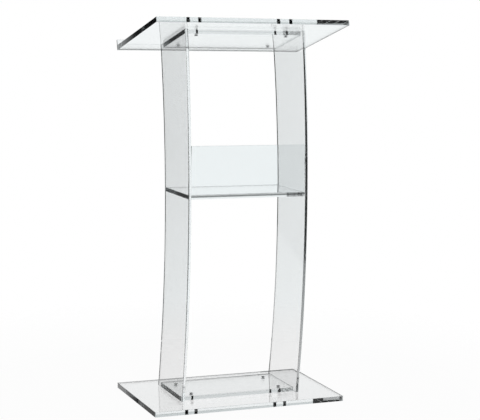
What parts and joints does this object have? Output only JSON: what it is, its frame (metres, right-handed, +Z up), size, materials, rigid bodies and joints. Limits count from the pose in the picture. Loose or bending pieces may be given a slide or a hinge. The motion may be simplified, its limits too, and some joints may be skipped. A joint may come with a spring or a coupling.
{
  "type": "presentation lectern",
  "caption": "Clear acrylic floor lectern: bowed side panels, flat base, shelf with a blank name panel, and a sloping reading board with a page stop.",
  "frame": {"origin": "floor level, under the centre of the base plate", "axes": "+Z up, -Y towards the audience, +Y towards the speaker at the reading board's low edge, +X across the lectern"},
  "size_m": [0.6, 0.4042, 1.143],
  "materials": {
    "clear_acrylic": "polished",
    "screws": "satin",
    "sleeve_nuts": "satin"
  },
  "bodies": {
    "root": {"base_plate": "clear_acrylic", "base_sleeve_nuts": "sleeve_nuts", "base_screws": "screws", "lower_spreader": "clear_acrylic", "left_side_panel": "clear_acrylic", "right_side_panel": "clear_acrylic", "shelf": "clear_acrylic", "name_panel": "clear_acrylic", "upper_spreader": "clear_acrylic", "board_screws": "screws", "board_sleeve_nuts": "sleeve_nuts", "reading_board": "clear_acrylic", "page_stop": "clear_acrylic"}
  },
  "joints": []
}
